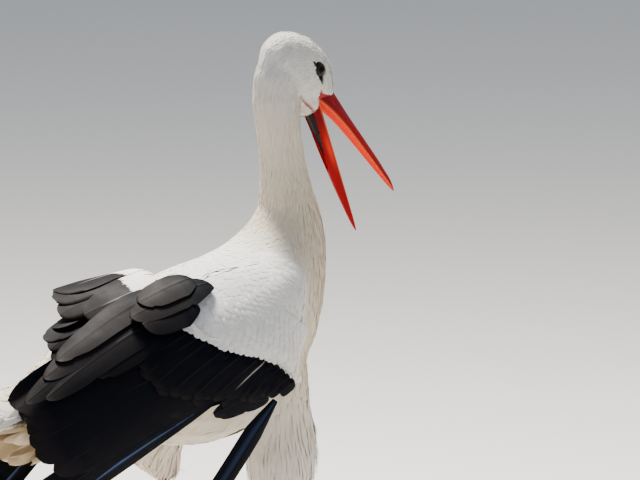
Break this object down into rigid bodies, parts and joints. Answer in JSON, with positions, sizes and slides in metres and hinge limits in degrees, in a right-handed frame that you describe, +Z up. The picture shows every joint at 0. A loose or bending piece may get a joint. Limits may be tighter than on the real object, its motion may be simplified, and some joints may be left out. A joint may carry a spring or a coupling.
{
  "type": "white stork figure",
  "caption": "Life-size standing white stork with a bowed head, open red bill, loosely folded black and white wings, short tail and long red legs; a still model.",
  "frame": {"origin": "on the floor under the middle of the bird's box, between and below its soles", "axes": "+X the way the bird faces, +Y to its left side, +Z up"},
  "size_m": [0.7552, 0.243, 0.8257],
  "materials": {
    "white_plumage": "matte",
    "black_plumage": "satin",
    "red_bill": "satin",
    "throat_skin": "matte",
    "leg_skin": "satin",
    "eye": "gloss",
    "claw_horn": "satin"
  },
  "bodies": {
    "root": {"head": "white_plumage", "neck_upper": "white_plumage", "neck_middle": "white_plumage", "neck_lower": "white_plumage", "trunk": "white_plumage", "tail": "white_plumage", "thigh_left": "white_plumage", "thigh_right": "white_plumage", "wing_arm_left": "white_plumage", "wing_arm_right": "white_plumage", "primaries_left": "black_plumage", "primaries_right": "black_plumage", "secondaries_left": "black_plumage", "secondaries_right": "black_plumage", "greater_coverts_left": "black_plumage", "greater_coverts_right": "black_plumage", "primary_covert_left": "black_plumage", "primary_covert_right": "black_plumage", "tertials_left": "black_plumage", "tertials_right": "black_plumage", "scapulars_left": "black_plumage", "scapulars_right": "black_plumage", "loose_primary_right": "black_plumage", "bill_upper": "red_bill", "bill_lower": "red_bill", "gular_skin": "throat_skin", "shank_left": "leg_skin", "shank_right": "leg_skin", "tarsus_left": "leg_skin", "tarsus_right": "leg_skin", "foot_left": "leg_skin", "foot_right": "leg_skin", "eye_left": "eye", "eye_right": "eye", "claw_inner_left": "claw_horn", "claw_inner_right": "claw_horn", "claw_middle_left": "claw_horn", "claw_middle_right": "claw_horn", "claw_outer_left": "claw_horn", "claw_outer_right": "claw_horn", "claw_hind_left": "claw_horn", "claw_hind_right": "claw_horn"}
  },
  "joints": []
}
